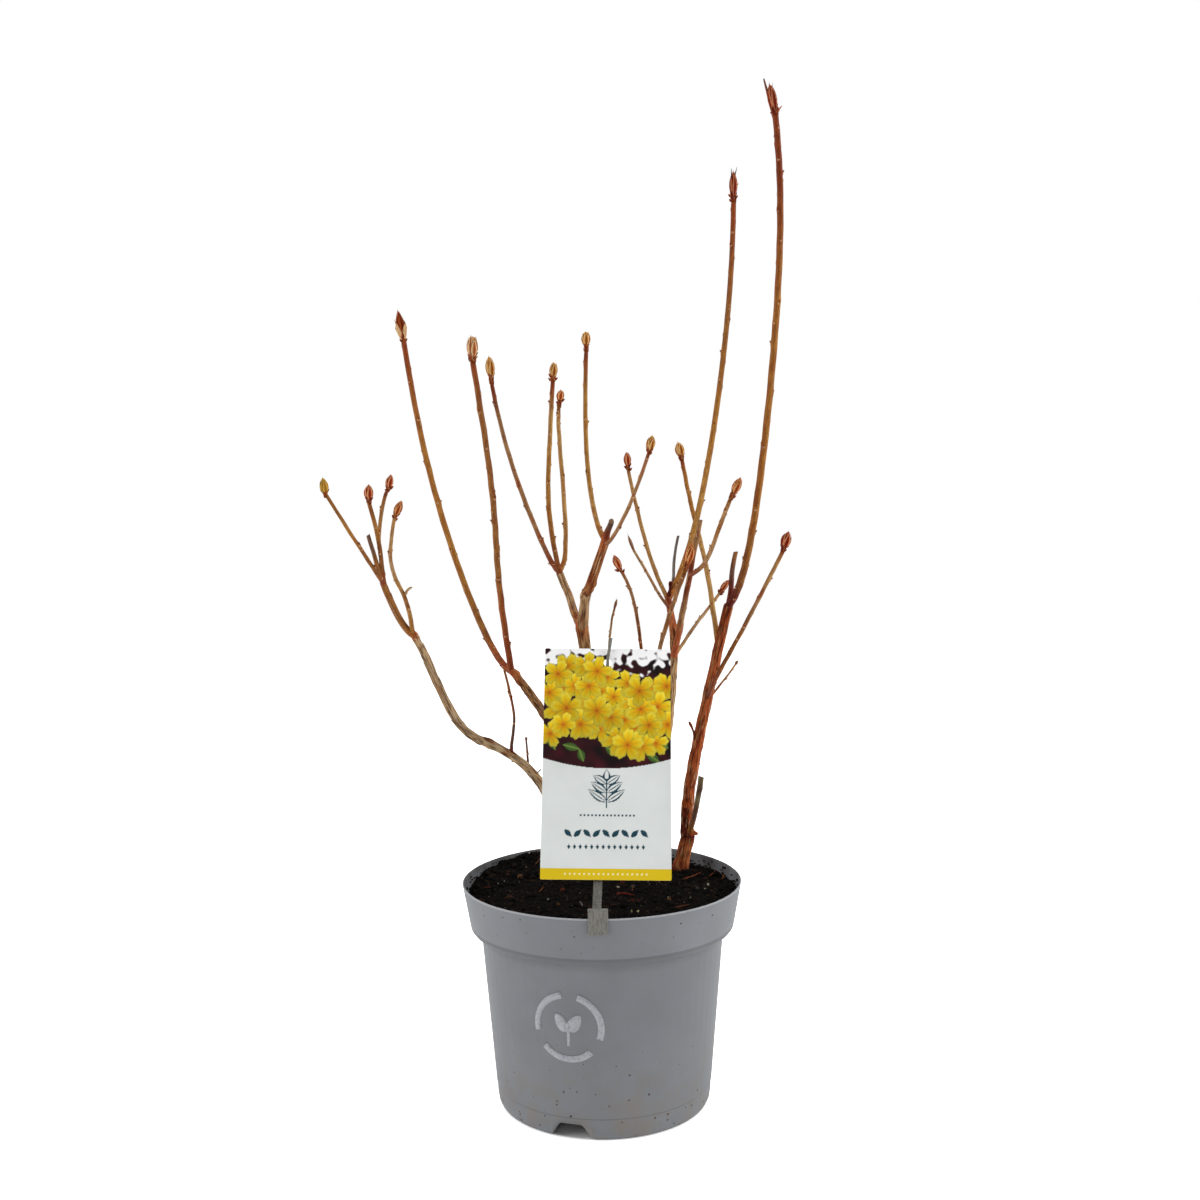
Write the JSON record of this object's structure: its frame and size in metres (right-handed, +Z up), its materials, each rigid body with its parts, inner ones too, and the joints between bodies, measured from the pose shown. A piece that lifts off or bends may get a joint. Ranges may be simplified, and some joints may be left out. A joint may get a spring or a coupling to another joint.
{
  "type": "potted mollis azalea shrub",
  "caption": "Leafless multi-stemmed azalea shrub in bud, growing in a filled round nursery pot, with a plant label that leans up from a clip on the pot's rim.",
  "frame": {"origin": "centre of the pot's flat underside, on the pot's axis", "axes": "+Z up along the pot's axis; -Y is the front, where the label faces; +X is to the right seen from the front"},
  "size_m": [0.3001, 0.2207, 0.6916],
  "materials": {
    "pot_plastic": "satin grey moulded plastic",
    "peat": "crumbly dark peat",
    "label_card": "printed sheet",
    "holder_plastic": "satin grey moulded plastic",
    "old_bark": "fibrous bark",
    "young_bark": "smooth young bark"
  },
  "bodies": {
    "root": {"pot": "pot_plastic", "soil": "peat", "label_card": "label_card", "label_holder": "holder_plastic", "main_stem": "old_bark", "centre_bough": "old_bark", "far_left_bough_low": "old_bark", "far_left_bough_high": "old_bark", "mid_left_bough": "old_bark", "centre_left_bough": "old_bark", "centre_right_bough": "old_bark", "inner_bough": "old_bark", "right_stem": "old_bark", "far_left_twigs": "young_bark", "left_low_twig": "young_bark", "left_low_spur": "young_bark", "mid_left_twigs": "young_bark", "centre_left_twigs": "young_bark", "centre_right_twigs": "young_bark", "fine_centre_twig": "young_bark", "inner_twigs": "young_bark", "fork_twigs": "young_bark", "fine_back_twig": "young_bark", "front_right_shoot": "young_bark", "front_left_shoot": "young_bark", "right_low_stub": "young_bark", "right_fine_twig": "young_bark", "right_outer_shoot": "young_bark", "right_inner_shoot": "young_bark", "right_tall_twigs": "young_bark"}
  },
  "joints": []
}
